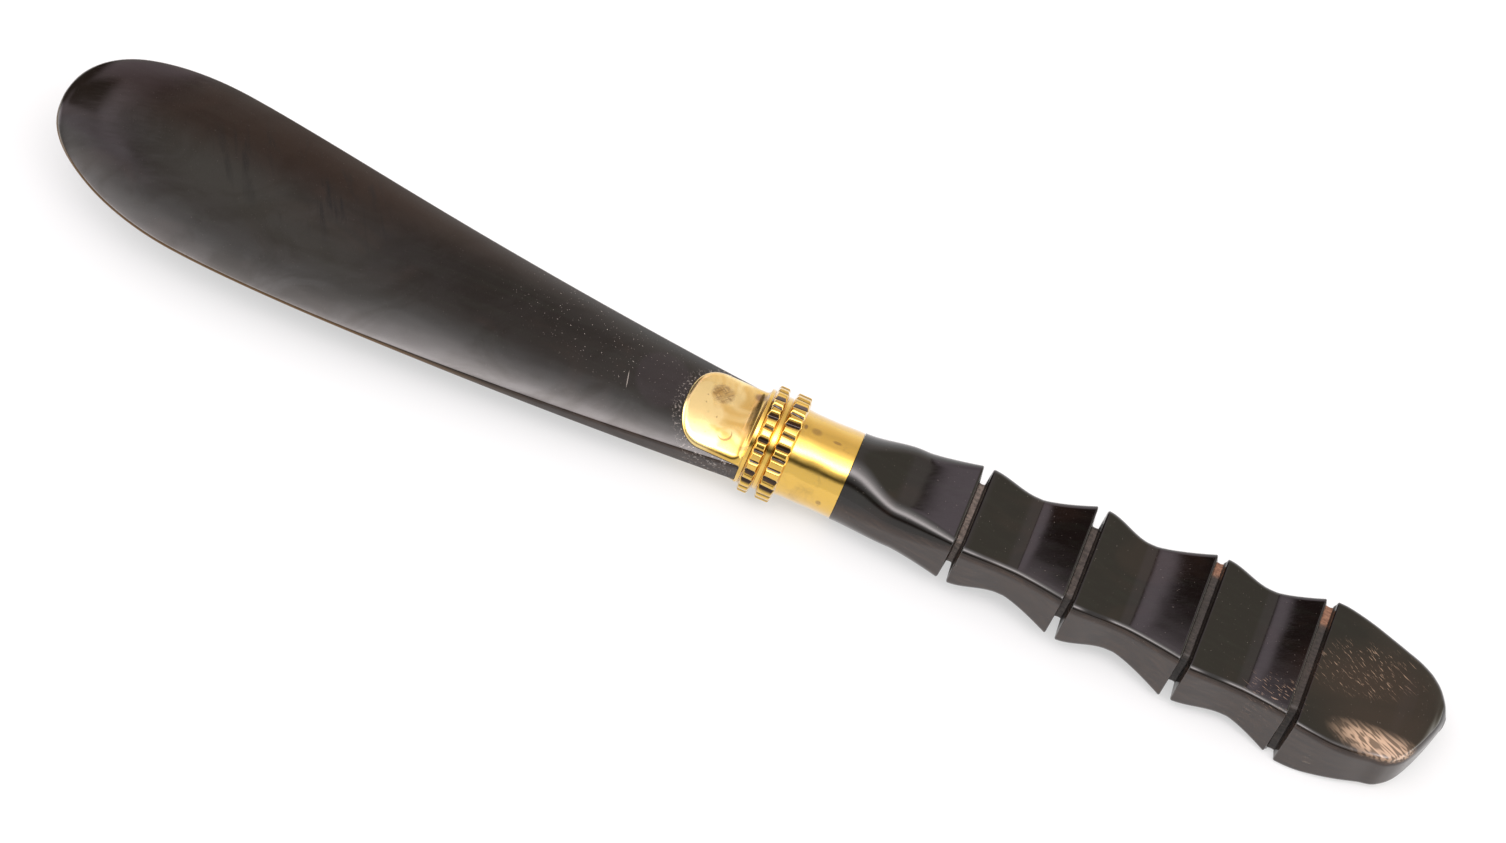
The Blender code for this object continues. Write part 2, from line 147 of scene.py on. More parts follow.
# The butt: (x, width, top, bottom, centre y, corner radius).
BUTT = (
    (99.9, 26.0, 5.4, -7.95, 0.0, 1.1),
    (101.9, 26.2, 5.1, -7.95, 0.0, 1.1),
    (104.0, 26.1, 4.6, -7.90, 0.0, 1.1),
    (107.0, 25.7, 3.8, -7.35, 0.0, 1.1),
    (110.5, 24.5, 3.1, -6.95, 0.0, 1.2),
    (114.0, 22.7, 2.6, -6.75, 0.1, 1.3),
    (117.2, 20.8, 2.5, -6.50, 0.0, 1.5),
    (119.8, 16.8, 2.4, -6.05, 0.55, 1.7),
    (121.8, 11.0, 2.0, -5.20, 1.7, 2.0),
    (123.1, 5.6, 1.3, -4.00, 2.5, 2.0),
    (123.7, 2.4, 0.3, -2.60, 2.8, 1.1),
)
BUTT_NOSE = 0.22
DOME_SEGMENT = 0.25
DOME_BUTT = 1.1
DOME_CHANGE = (100.0, 110.0)
DOME_FULL_WIDTH = 20.0
NECK_EASE = 0.90
FLARE_POWER = 1.3

sleeve_low, sleeve_high = (Vector(corner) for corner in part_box("ferrule_sleeve"))
tilt = Matrix.Rotation(REST_TILT, 4, "Y")
sleeve_middle = Vector(((SLEEVE[0] + SLEEVE[1]) / 2.0 * MM, 0.0, 0.0))
knife_to_world = Matrix.Translation((sleeve_low + sleeve_high) / 2.0 - tilt @ sleeve_middle) @ tilt


def smoothstep(start, end, value):
    t = np.clip((value - start) / (end - start), 0.0, 1.0)
    return t * t * (3.0 - 2.0 * t)


def mix(start, end, t):
    return start + (end - start) * t


# ---------------------------------------------------------------------------------------------
# Meshes
# ---------------------------------------------------------------------------------------------


def to_world(points):
    """An array of points in the knife's millimetres, as the frame's metres."""
    matrix = np.array(knife_to_world)
    return points.reshape(-1, 3) * MM @ matrix[:3, :3].T + matrix[:3, 3]


def build(name, grid, wrap_rows=False, masks=None, sharp=35.0):
    """A closed mesh from rows of points. Each row is a ring. The ends are capped unless the rows wrap too."""
    rows, columns = grid.shape[:2]
    points = list(map(tuple, to_world(grid)))
    index = np.arange(rows * columns).reshape(rows, columns)
    below = np.roll(index, -1, 0) if wrap_rows else index[1:]
    above = index if wrap_rows else index[:-1]
    quads = np.stack([above, np.roll(above, -1, 1), np.roll(below, -1, 1), below], -1).reshape(-1, 4)
    faces = quads.tolist()
    if not wrap_rows:
        for row, flip in ((index[0], True), (index[-1], False)):
            middle = len(points)
            points.append(tuple(np.array([points[i] for i in row]).mean(0)))
            for a, b in zip(row.tolist(), np.roll(row, -1).tolist()):
                faces.append((middle, b, a) if flip else (middle, a, b))
    mesh = bpy.data.meshes.new(name)
    mesh.from_pydata(points, [], faces)
    mesh.validate()
    corners = np.array(points) - np.mean(points, axis=0)
    a, b, c, d = (corners[quads[:, k]] for k in range(4))
    if (np.cross(a, b) * c + np.cross(a, c) * d).sum() < 0.0:
        mesh.flip_normals()
    mesh.shade_smooth()
    mesh.set_sharp_from_angle(angle=math.radians(sharp))
    if masks is not None:
        layer = mesh.color_attributes.new("mask", "FLOAT_COLOR", "POINT")
        values = np.zeros((len(points), 4))
        values[: rows * columns, : masks.shape[-1]] = masks.reshape(rows * columns, -1)
        layer.data.foreach_set("color", values.reshape(-1))
    obj = bpy.data.objects.new(name, mesh)
    bpy.context.scene.collection.objects.link(obj)
    return obj


# ---------------------------------------------------------------------------------------------
# Blade
# ---------------------------------------------------------------------------------------------


def blade_half_width(reach):
    past = np.maximum(reach - BLADE_NOSE, 0.0)
    nose = (1.0 - (1.0 - np.minimum(reach / BLADE_NOSE, 1.0)) ** 2) ** BLADE_NOSE_POWER
    return BLADE_HALF_WIDTH * nose - BLADE_TAPER * past * past / (past + BLADE_TAPER_EASE)


def rim_thickness(reach):
    past = np.maximum(reach - RIM_THIN_REACH, 0.0) / (BLADE_LENGTH - RIM_THIN_REACH)
    return mix(RIM_THIN, RIM_THICK, past**RIM_POWER)


def blade_centre(x):
    """The middle of the blade at x, as (y, z). It bends aside and upwards, and less so close to the tip."""
    run = -x
    nose = np.maximum(run - NOSE_TURN_START, 0.0) / (BLADE_LENGTH - NOSE_TURN_START)
    sideways, upwards = (BLADE_SWEEP * run * run - back * nose * nose for back in NOSE_TURN)
    return SWEEP_ORIGIN[0] + SWEEP_SIDEWAYS * sideways, SWEEP_ORIGIN[1] + SWEEP_UPWARDS * upwards


def blade_surface(x, y, side):
    """Height of the blade's top (side 1) or underside (side -1) at a point."""
    reach = BLADE_LENGTH + x
    centre_y, centre_z = blade_centre(x)
    half = blade_half_width(reach)
    rooted = smoothstep(*CROWN_CHANGE, reach)
    share, power = (mix(tip, root, rooted) for tip, root in zip(CROWN_TIP, CROWN_ROOT))
    height = 2.0 * half * share * (1.0 if side > 0 else CROWN_BELOW)
    across = np.clip(np.abs(y - centre_y) / half, 0.0, 1.0)
    return centre_z + side * (rim_thickness(reach) / 2.0 + height * (1.0 - across**power))


def rim_slant(reach):
    """The distance to the rim straight across the blade, over the shortest distance to it."""
    step = 0.02
    slope = float(blade_half_width(reach + step) - blade_half_width(reach)) / step
    return math.sqrt(1.0 + slope * slope)


def blade_row(x):
    """One section, as a ring that starts at the far edge of the top, with its edges rounded over."""
    rim_steps, face_steps = 8, 45
    reach = BLADE_LENGTH + x
    half = float(blade_half_width(reach))
    centre_y, _ = blade_centre(x)
    round_in = min(RIM_ROUND_IN * rim_slant(reach), 0.75 * half)
    round_down = min(0.49 * float(rim_thickness(reach)), RIM_ROUND_DOWN)
    arc = np.radians(np.linspace(0.0, 90.0, rim_steps, endpoint=False))
    edge_in = round_in * (1.0 - np.cos(arc))
    edge_down = round_down * (1.0 - np.sin(arc))
    inner = np.linspace(1.0, -1.0, face_steps) * (half - round_in)
    across = np.concatenate([half - edge_in, inner, -(half - edge_in)[::-1]])
    down = np.concatenate([edge_down, np.zeros(face_steps), edge_down[::-1]])
    y = centre_y + across
    top = blade_surface(x, y, 1) - down
    below = blade_surface(x, y, -1) + down
    ring_y = np.concatenate([y, y[::-1]])
    ring_z = np.concatenate([top, below[::-1]])
    return np.stack([np.full_like(ring_y, x), ring_y, ring_z], -1)


def make_blade():
    """The blade and its tang. The red mask is the thin rim, and the blue mask is the thick one."""
    amber_depth, thin_rim = 0.30, 1.3
    nose = BLADE_NOSE * (1.0 - np.cos(np.radians(np.linspace(2.2, 90.0, 52))))
    body = np.linspace(BLADE_NOSE, BLADE_LENGTH, 116)[1:]
    reaches = np.concatenate([[0.004], nose, body])
    rows = [blade_row(float(reach) - BLADE_LENGTH) for reach in reaches]
    count = len(rows[0]) // 2
    length, width, thick = TANG
    across = np.linspace(width / 2.0, -width / 2.0, count)
    ring_y = np.concatenate([across, across[::-1]])
    ring_z = np.concatenate([np.full(count, thick / 2.0), np.full(count, -thick / 2.0)])
    for x in (0.0, length):
        rows.append(np.stack([np.full_like(ring_y, x), ring_y, ring_z], -1))
    grid = np.array(rows)
    masks = np.zeros(grid.shape[:2] + (3,))
    for mask, row, reach in zip(masks, rows, reaches):
        reach = float(reach)
        centre_y, _ = blade_centre(reach - BLADE_LENGTH)
        lateral = float(blade_half_width(reach)) - np.abs(row[:, 1] - centre_y)
        from_rim = np.maximum(lateral / rim_slant(reach), 0.0)
        thin = 1.0 / (1.0 + (float(rim_thickness(reach)) / thin_rim) ** 3)
        mask[:, 0] = np.exp(-from_rim / amber_depth) * thin
        mask[:, 2] = smoothstep(0.5, 0.1, from_rim) * (1.0 - thin)
    return build("blade_surface", grid, masks=masks)


# ---------------------------------------------------------------------------------------------
# Handle
# ---------------------------------------------------------------------------------------------

CORNER_STEPS = 13
SIDE_STEPS = 26


def rest_height(x):
    contact = (RING_REAR[0] + RING_REAR[1]) / 2.0
    return -RING_RADIUS / math.cos(REST_TILT) + (x - contact) * math.tan(REST_TILT)


def section(x, width, thick, centre_y, centre_z, radius, dome=0.0, lean=0.0, floor=None):
    """A rectangle with round corners. dome raises its top's middle, and nothing reaches below floor."""
    half_y, half_z = width / 2.0, thick / 2.0
    radius = min(radius, 0.98 * half_y, 0.98 * half_z)
    ring = []
    corners = [(1, 1), (-1, 1), (-1, -1), (1, -1)]
    for number, (side_y, side_z) in enumerate(corners):
        angle = np.radians(90.0 * (number + np.linspace(0.0, 1.0, CORNER_STEPS + 1)))
        y = side_y * (half_y - radius) + radius * np.cos(angle)
        z = side_z * (half_z - radius) + radius * np.sin(angle)
        next_y, next_z = corners[(number + 1) % 4]
        stop_y = next_y * (half_y - radius) + radius * math.cos(math.radians(90.0 * (number + 1)))
        stop_z = next_z * (half_z - radius) + radius * math.sin(math.radians(90.0 * (number + 1)))
        t = np.linspace(0.0, 1.0, SIDE_STEPS + 1)[1:-1]
        ring.append(np.stack([y, z], -1))
        ring.append(np.stack([mix(y[-1], stop_y, t), mix(z[-1], stop_z, t)], -1))
    y, z = np.concatenate(ring).T
    z = z + np.where(z > 0.0, dome * np.maximum(1.0 - (y / half_y) ** 2, 0.0), 0.0)
    y = y + lean * z
    z = z + centre_z
    if floor is not None:
        z = np.maximum(z, floor)
    return np.stack([np.full_like(y, x), centre_y + y, z], -1)


def lip_inset(distance):
    """How far a segment's end is rounded in, at a distance from its lip."""
    if distance >= LIP:
        return 0.0
    return LIP - math.sqrt(max(LIP**2 - (LIP - distance) ** 2, 0.0))


def lip_steps():
    """Distances from a lip that follow its rounding."""
    return [LIP * (1.0 - math.cos(math.radians(a))) for a in (0, 18, 36, 54, 72, 90)] + [LIP_SPAN]


def segment_rows(segment, first):
    """One waisted segment. The first runs on from the sleeve, so only its right end has a lip."""
    left, neck, right = segment
    start, end = left[0], right[0]
    even = np.linspace(start + EVEN_START, end - EVEN_START, SEGMENT_STEPS)
    steps = [start + d for d in lip_steps()] + list(even) + [end - d for d in reversed(lip_steps())]
    rows = []
    for x in steps:
        side = (left, neck) if x < neck[0] else (neck, right)
        t = (x - side[0][0]) / (side[1][0] - side[0][0])
        blend = float(smoothstep(0.0, NECK_EASE, t)) if x < neck[0] else t**FLARE_POWER
        width, thick, centre_z, radius = (mix(side[0][k], side[1][k], blend) for k in (1, 2, 3, 4))
        inset = lip_inset(end - x) + (0.0 if first else lip_inset(x - start))
        rows.append(section(x, width - 2 * inset, thick - 2 * inset, 0.0, centre_z, radius, DOME_SEGMENT))
    return rows


def butt_value(x, column):
    """Smooth interpolation down one column of BUTT."""
    xs = np.array([row[0] for row in BUTT])
    values = np.array([row[column] for row in BUTT])
    slopes = np.gradient(values, xs)
    i = int(np.clip(np.searchsorted(xs, x) - 1, 0, len(xs) - 2))
    gap = xs[i + 1] - xs[i]
    t = (x - xs[i]) / gap
    a = (2 * t**3 - 3 * t**2 + 1) * values[i] + (t**3 - 2 * t**2 + t) * gap * slopes[i]
    b = (-2 * t**3 + 3 * t**2) * values[i + 1] + (t**3 - t**2) * gap * slopes[i + 1]
    return float(a + b)


def butt_rows():
    """The butt, flat underneath at its front, and closed by a small rounded nose."""
    start, end = BUTT[0][0], BUTT[-1][0]
    closing = np.sin(np.radians(np.linspace(0.0, 90.0, BUTT_STEPS)))
    steps = [start + d for d in lip_steps()]
    steps += list(start + EVEN_START + (end - start - EVEN_START) * closing)
    rows = []
    for x in steps:
        width, top, bottom, centre_y, radius = (butt_value(x, k) for k in (1, 2, 3, 4, 5))
        dome = mix(DOME_SEGMENT, DOME_BUTT, float(smoothstep(*DOME_CHANGE, x)))
        dome *= min(width / DOME_FULL_WIDTH, 1.0)
        inset = lip_inset(x - start)
        floor = rest_height(x) + 0.5 * inset if x <= FLAT_END else None
        middle = (top + bottom) / 2.0
        thick = top - bottom - 2 * inset
        rows.append(section(x, width - 2 * inset, thick, centre_y, middle, radius, dome, 0.0, floor))
    last = rows[-1]
    for angle in np.radians([18.0, 36.0, 54.0, 72.0]):
        ring = mix(last.mean(0), last, math.cos(angle))
        ring[:, 0] = end + BUTT_NOSE * math.sin(angle)
        rows.append(ring)
    return rows


def kerf_rows(kerf, near, far):
    """The core inside a kerf, flared where it meets the kerf's walls."""
    width, thick, centre_y, centre_z, lean = kerf
    length, flare = KERF_FLARE

    def core(x, grow):
        return section(x, width + grow, thick + grow, centre_y, centre_z, KERF_CORNER, 0.0, lean)

    middle = [(x, (x - near) / (far - near) * 2.0 - 1.0) for x in np.linspace(near, far, 5)]
    rows = [core(x, -KERF_DIP * (1.0 - along**2)) for x, along in middle]
    return [core(near - length, flare)] + rows + [core(far + length, flare)]


def make_handle():
    """The handle in one mesh. The green mask is dust, and the blue mask is side faces or, in dust, tan."""
    corner = 0.97 * TENON_WIDTH / 2.0
    tenon = [TENON_START, HANDLE_START]
    rows = [section(x, TENON_WIDTH, TENON_WIDTH, 0.0, 0.0, corner) for x in tenon]
    no_dust = (0.0, 0.0, 0.0)
    dust = [no_dust] * len(rows)
    ends = [segment[0][0] for segment in SEGMENTS[1:]] + [BUTT[0][0]]
    for number, (segment, kerf, after) in enumerate(zip(SEGMENTS, KERFS, ends)):
        made = segment_rows(segment, number == 0)
        rows += made
        dust += [no_dust] * len(made)
        rows += kerf_rows(kerf, segment[2][0] + KERF_SLANT, after - KERF_SLANT)
        width, _, centre_y, _, _ = kerf
        density, strip = KERF_DUST[number]
        tan_start = centre_y + width / 2.0 - strip
        dust += [(share * density, share, tan_start) for share in (0.2, 1, 1, 1, 1, 1, 0.2)]
    made = butt_rows()
    rows += made
    dust += [no_dust] * len(made)
    grid = np.array(rows)
    masks = np.zeros(grid.shape[:2] + (3,))
    for row, mask, (density, share, tan_start) in zip(grid, masks, dust):
        y = row[:, 1]
        if share:
            tan = share * smoothstep(tan_start - 0.4, tan_start + 0.5, y)
            mask[:, 1] = np.maximum(density, 0.9 * tan)
            mask[:, 2] = tan
        else:
            mask[:, 2] = smoothstep(0.6, 0.05, np.minimum(y - y.min(), y.max() - y))
    return build("handle_surface", grid, masks=masks)


# ---------------------------------------------------------------------------------------------
# Ferrule
# ---------------------------------------------------------------------------------------------


def turned(name, profile, steps, radius_at=None, sharp=35.0):
    """A closed profile of (radius, x) points swept round the axis.

    radius_at, where it is given, says the radius and the darkening at each point of the profile: dirt and
    painted shade, which is the red mask.
    """
    rows, masks = [], []
    for angle in np.linspace(0.0, 2.0 * math.pi, steps, endpoint=False):
        radius, x = profile[:, 0].copy(), profile[:, 1]
        dirt_and_shade = np.zeros_like(radius)
        if radius_at is not None:
            radius, dirt_and_shade = radius_at(angle, radius, x)
        rows.append(np.stack([x, -radius * math.sin(angle), radius * math.cos(angle)], -1))
        masks.append(dirt_and_shade)
    return build(name, np.array(rows), wrap_rows=True, sharp=sharp, masks=np.array(masks)[:, :, None])


def rounded(profile, radius, steps=5):
    """A closed profile with each corner rounded by the radius."""
    points = [np.array(point) for point in profile]
    out = []
    for before, here, after in zip(points[-1:] + points[:-1], points, points[1:] + points[:1]):
        to_before = (before - here) / np.linalg.norm(before - here)
        to_after = (after - here) / np.linalg.norm(after - here)
        reach = min(radius, 0.45 * np.linalg.norm(before - here), 0.45 * np.linalg.norm(after - here))
        start, end = here + to_before * reach, here + to_after * reach
        for t in np.linspace(0.0, 1.0, steps):
            out.append((1 - t) ** 2 * start + 2 * t * (1 - t) * here + t * t * end)
    return np.array(out)


def spread(profile, gap):
    """The same closed profile, with its points no further apart than the gap."""
    out = []
    for here, after in zip(profile, np.roll(profile, -1, 0)):
        count = max(int(math.ceil(np.linalg.norm(after - here) / gap)), 1)
        out += [mix(here, after, i / count) for i in range(count)]
    return np.array(out)


def make_sleeve():
    """The sleeve, worn a little thinner behind the rings and not quite round."""
    corners = [
        (SLEEVE_BORE, SLEEVE[0]),
        (SLEEVE_BORE, SLEEVE[1]),
        (SLEEVE_RADIUS, SLEEVE[1]),
        (SLEEVE_RADIUS, SLEEVE[0]),
    ]
    profile = spread(rounded(corners, 0.12, 4), 0.35)

    def radius_at(angle, radius, x):
        outer = radius > SLEEVE_RADIUS - 0.3
        starts, ends = (smoothstep(*span, x) for span in SLEEVE_WORN_SPAN)
        waist = SLEEVE_WORN * starts * ends
        starts, ends = (smoothstep(*span, x) for span in SLEEVE_WAVE_SPAN)
        waves = sum(height * np.sin(turns * angle + phase * x) for height, turns, phase in SLEEVE_WAVES)
        waves = waves * starts * ends
        return radius - np.where(outer, waist + waves, 0.0), np.zeros_like(radius)

    return turned("sleeve_surface", profile, 288, radius_at)


def make_ring(name, span, seed):
    """A milled ring: notches filed at slightly uneven places, depths, tilts and slopes, with dirt and painted
    shade in them.
    """
    chamfer, wall, notch_bottom, blend_over = 0.42, 0.3, 0.05, 0.09
    bead_half, bead_curve, clean_depth, dirt_and_shade_fade = 1.05, 0.05, 0.07, 0.22
    rng = np.random.default_rng(seed)
    places = (np.arange(NOTCHES) + 0.5) / NOTCHES * 360.0
    places = places + rng.uniform(-NOTCH_SCATTER, NOTCH_SCATTER, NOTCHES)
    depths = rng.uniform(*NOTCH_DEPTHS, NOTCHES)
    tilts = rng.uniform(-NOTCH_TILT, NOTCH_TILT, NOTCHES)
    slopes = rng.uniform(*NOTCH_SLOPES, NOTCHES)
    corners = [
        (RING_BORE, span[0]),
        (RING_BORE, span[1]),
        (RING_SHOULDER, span[1]),
        (RING_RADIUS, span[1] - chamfer),
        (RING_RADIUS, span[0] + chamfer),
        (RING_SHOULDER, span[0]),
    ]
    profile = spread(rounded(corners, 0.16, 4), 0.13)
    middle = (span[0] + span[1]) / 2.0

    def radius_at(angle, radius, x):
        outer = radius > RING_BORE + 0.35
        tilted = np.degrees((x - middle)[None, :] * tilts[:, None] / RING_RADIUS)
        away = np.degrees(angle) - places[:, None] + tilted
        away = np.radians(np.abs((away + 180.0) % 360.0 - 180.0)) * RING_RADIUS
        cut = RING_RADIUS - depths[:, None] + np.sqrt((away * slopes[:, None]) ** 2 + notch_bottom**2)
        cut = cut.min(0)
        bead = RING_RADIUS - bead_curve * np.minimum(away.min(0) - bead_half, 0.0) ** 2
        limit = np.minimum(radius, bead)
        blend = np.clip(0.5 + 0.5 * (cut - limit) / blend_over, 0.0, 1.0)
        merged = mix(cut, limit, blend) - blend_over * blend * (1.0 - blend)
        # Dirt and painted shade, darker deeper in each notch.
        dirt_and_shade = np.where(outer, np.clip((limit - merged - clean_depth) / dirt_and_shade_fade, 0.0, 1.0), 0.0)
        return np.where(outer, np.maximum(merged, RING_BORE + wall), radius), dirt_and_shade

    return turned(name, profile, NOTCHES * 22, radius_at, sharp=50.0)


def make_spacer():
    corners = [
        (RING_BORE, SPACER[0]),
        (RING_BORE, SPACER[1]),
        (SPACER_RADIUS, SPACER[1]),
        (SPACER_RADIUS, SPACER[0]),
    ]
    return turned("spacer_surface", spread(rounded(corners, 0.1, 4), 0.2), 192)


def tongue_grid(side):
    """Closed loft of one tongue, from its nose to inside the disc."""
    power = TONGUE_NOSE_POWER
    nose_x = TONGUE_NOSE - TONGUE_LENGTH
    nose = nose_x - TONGUE_NOSE * np.sin(np.radians(np.linspace(88.6, 0.0, 34)))
    plate = np.linspace(nose_x, -TONGUE_FILLET, 16)[1:]
    bend = np.linspace(-TONGUE_FILLET, 0.4, 18)[1:]
    rows = []
    for x in np.concatenate([nose, plate, bend]):
        x = float(x)
        half = TONGUE_HALF_WIDTH
        slope = 0.0
        if x < nose_x:
            u = (nose_x - x) / TONGUE_NOSE
            half *= (1.0 - u**power) ** (1.0 / power)
            slope = TONGUE_HALF_WIDTH / TONGUE_NOSE * u ** (power - 1.0)
            slope *= max(1.0 - u**power, 1e-4) ** (1.0 / power - 1.0)
        ease = min(max(x + TONGUE_FILLET, 0.0), TONGUE_FILLET)
        fillet = TONGUE_FILLET - math.sqrt(TONGUE_FILLET**2 - ease**2)
        on_blade = min(x, -0.001)
        across = half * np.cos(np.linspace(0.0, math.pi, 61))
        y = float(blade_centre(on_blade)[0]) + across
        from_edge = (half - np.abs(across)) / math.sqrt(1.0 + slope * slope)
        t = np.clip(from_edge / TONGUE_ROUNDING, 0.0, 1.0)
        thick = TONGUE_EDGE + TONGUE_RISE * np.sqrt(1.0 - (1.0 - t) ** 2)
        surface = blade_surface(on_blade, y, side)
        outer = surface + side * (thick + 0.8 * fillet * smoothstep(0.0, 1.6, from_edge + 0.35))
        inner = surface + side * TONGUE_GAP
        ring_y = np.concatenate([y, y[::-1]])
        ring_z = np.concatenate([outer, inner[::-1]])
        rows.append(np.stack([np.full_like(ring_y, x), ring_y, ring_z], -1))
    return np.array(rows)


def make_yoke():
    """The disc with a tongue over each face of the blade, in one mesh, with dirt and painted shade where they
    meet horn and disc.
    """
    corners = [(0.02, DISC[0]), (0.02, DISC[1]), (DISC_RADIUS, DISC[1]), (DISC_RADIUS, DISC[0])]
    yoke = turned("yoke_surface", spread(rounded(corners, 0.12, 4)[4:], 0.9), 160)
    tongues = [build(f"tongue_{label}", tongue_grid(side)) for label, side in (("top", 1), ("under", -1))]
    joined = bmesh.new()
    for part in [yoke] + tongues:
        joined.from_mesh(part.data)
    mesh = yoke.data
    joined.to_mesh(mesh)
    joined.free()
    mesh.shade_smooth()
    mesh.set_sharp_from_angle(angle=math.radians(40.0))
    for part in tongues:
        bpy.data.objects.remove(part, do_unlink=True)
    places = np.empty(len(mesh.vertices) * 3)
    mesh.vertices.foreach_get("co", places)
    back = np.array(knife_to_world.inverted())
    x, y, z = (places.reshape(-1, 3) @ back[:3, :3].T + back[:3, 3]).T / MM
    height = np.minimum(np.abs(z - blade_surface(x, y, 1)), np.abs(z - blade_surface(x, y, -1)))
    on_blade = x < -0.1
    # Dirt and painted shade along the tongues' feet on the horn, and where the tongues meet the disc.
    dirt_and_shade = np.where(on_blade, smoothstep(0.34, 0.10, height), 0.0)
    dirt_and_shade = np.maximum(dirt_and_shade, np.where(x < DISC[0], 0.4 * smoothstep(-0.15, 0.0, x), 0.0))
    values = np.zeros((len(x), 4))
    values[:, 0] = dirt_and_shade
    if "mask" in mesh.color_attributes:
        mesh.color_attributes.remove(mesh.color_attributes["mask"])
    layer = mesh.color_attributes.new("mask", "FLOAT_COLOR", "POINT")
    layer.data.foreach_set("color", values.reshape(-1))
    return yoke


# ---------------------------------------------------------------------------------------------
# Materials
# ---------------------------------------------------------------------------------------------


# Horn, in the blade and the handle.
HORN_DARK = (0.0030, 0.0016, 0.0011)
HORN_GREENISH = (0.0045, 0.0040, 0.0026)
HORN_BROWN = (0.0080, 0.0042, 0.0028)
HORN_AMBER = (0.095, 0.052, 0.018)
HORN_SIDE_DARK = (0.0105, 0.0042, 0.0020)
HORN_SIDE_PALE = (0.034, 0.0185, 0.0105)
HORN_IOR = 1.54
POLISH_TURN = (0.0, 0.0, 0.35)

# A patch is (centre, half sizes, turn in degrees, softness of its edge), in the knife's millimetres.
# Tints of the blade: (patch, strength, colour). The first and third are painted reflections; the second is
# brown.
BLADE_TINTS_AND_REFLECTIONS = (
    (((-98.0, 1.5, 6.0), (34.0, 5.0, 60.0), -11.0, 0.8), 0.7, (0.0085, 0.0080, 0.0060)),
    (((-62.0, 16.0, 4.0), (60.0, 7.0, 60.0), 4.0, 0.7), 0.5, (0.0120, 0.0050, 0.0028)),
    (((-17.2, 1.0, 4.0), (4.6, 5.4, 60.0), 12.0, 0.12), 0.6, (0.0125, 0.0085, 0.0110)),
)
BLADE_STREAKED = ((-84.0, 7.5, 4.0), (15.0, 7.5, 60.0), 0.0, 0.6)
BLADE_DUSTY = ((-30.0, 5.0, 4.0), (15.0, 7.0, 60.0), -8.0, 0.6)
BLADE_RESIDUE = ((-5.5, -0.5, 4.0), (8.6, 9.4, 60.0), 0.0, 0.1)
BLADE_SCRATCH = ((-22.5, -1.9, 4.0), (0.07, 1.5, 60.0), 12.0, 0.3)
# Painted shade: the blade's reflection is darkened over its middle and along its far edge.
BLADE_PAINTED_SHADE = ((-46.0, 5.0, 4.0), (20.0, 10.0, 60.0), -6.0, 0.6)
BLADE_FAR_EDGE_SHADE = ((-58.0, 17.5, 4.0), (68.0, 8.5, 60.0), 5.0, 0.6)
STREAK_COLOUR = (0.0012, 0.0010, 0.0009)
DUST_COLOUR = (0.26, 0.23, 0.21)

BUTT_BROWN = ((109.5, 1.5, 3.0), (11.0, 5.0, 30.0), 24.0, 0.8)
BUTT_BROWN_NEAR = ((114.0, -6.0, 3.0), (10.0, 6.0, 30.0), 0.0, 0.7)
# A pale patch of fibrous horn on the butt's top, painted brighter as a sheen.
BUTT_PALE_SHEEN = ((114.4, -8.6, 3.0), (6.6, 2.1, 30.0), 5.5, 0.6)
BUTT_WORN = ((108.5, 3.2, 3.0), (9.5, 4.6, 30.0), 24.0, 0.35)
SEGMENT_WORN = ((95.0, -8.4, 4.0), (4.6, 2.8, 30.0), 0.0, 0.4)
BUTT_FLECKED = ((107.0, -20.0, -2.8), (8.0, 7.5, 2.2), 0.0, 0.3)
BROWN_COLOUR = (0.020, 0.0105, 0.0065)
PALE_SHEEN_COLOUR = (0.38, 0.26, 0.18)
WORN_COLOUR = (0.30, 0.20, 0.14)
FLECK_COLOUR = (0.20, 0.165, 0.12)
SPECK_COLOUR = (0.16, 0.14, 0.12)
KERF_DUST_COLOURS = ((0.045, 0.034, 0.027), (0.19, 0.15, 0.125))
KERF_TAN_COLOURS = ((0.14, 0.060, 0.032), (0.34, 0.175, 0.105))
WEAR_TURN = math.radians(-24.0)
STRIATION_TURN = math.radians(-20.0)

BRASS = (0.745, 0.465, 0.078)
BRASS_TARNISHED = (0.50, 0.31, 0.06)
# The tongue's paler brass, in waves, is a painted sheen.
BRASS_PAINTED_SHEEN = ((0.78, 0.50, 0.13), (0.97, 0.75, 0.33))
BRASS_SPOT = (0.25, 0.12, 0.03)
# Stains, and painted shade in the tongue's two corners by the ring.
BRASS_STAIN_AND_SHADE = (0.24, 0.125, 0.035)
# Dirt and painted shade in the notches and where the tongues meet the horn and the disc.
BRASS_DIRT_AND_SHADE = (0.030, 0.014, 0.006)
TONGUE_AREA = ((-6.5, 0.0, 0.0), (7.0, 9.0, 9.0), 0.0, 0.1)
TONGUE_STAIN = ((-7.1, 2.5, 5.0), (1.9, 1.9, 9.0), 20.0, 0.2)
# The crescent is the first patch without the second.
CRESCENT = (
    ((-4.3, -4.4, 4.6), (1.25, 1.25, 9.0), 0.0, 0.06),
    ((-4.52, -4.12, 4.6), (1.22, 1.22, 9.0), 0.0, 0.06),
)
# Small brown marks on the ferrule: (centre, half sizes, strength). The first two are painted shade by the
# ring.
BRASS_MARKS = (
    ((-1.0, 4.9, 4.4), (1.1, 0.9, 9.0), 0.85),
    ((-0.5, -5.8, 3.6), (0.7, 0.5, 9.0), 0.7),
    ((-6.6, -2.2, 5.0), (0.16, 0.16, 9.0), 0.6),
    ((-9.4, 1.2, 5.0), (0.14, 0.14, 9.0), 0.6),
    ((9.5, 0.65, 7.5), (0.85, 0.65, 1.2), 0.5),
    ((13.3, 0.2, 7.6), (0.7, 0.28, 1.2), 0.6),
    ((7.5, 0.7, 7.5), (0.30, 0.45, 1.2), 0.8),
    ((14.3, -7.5, 0.7), (0.45, 0.6, 0.5), 0.6),
)


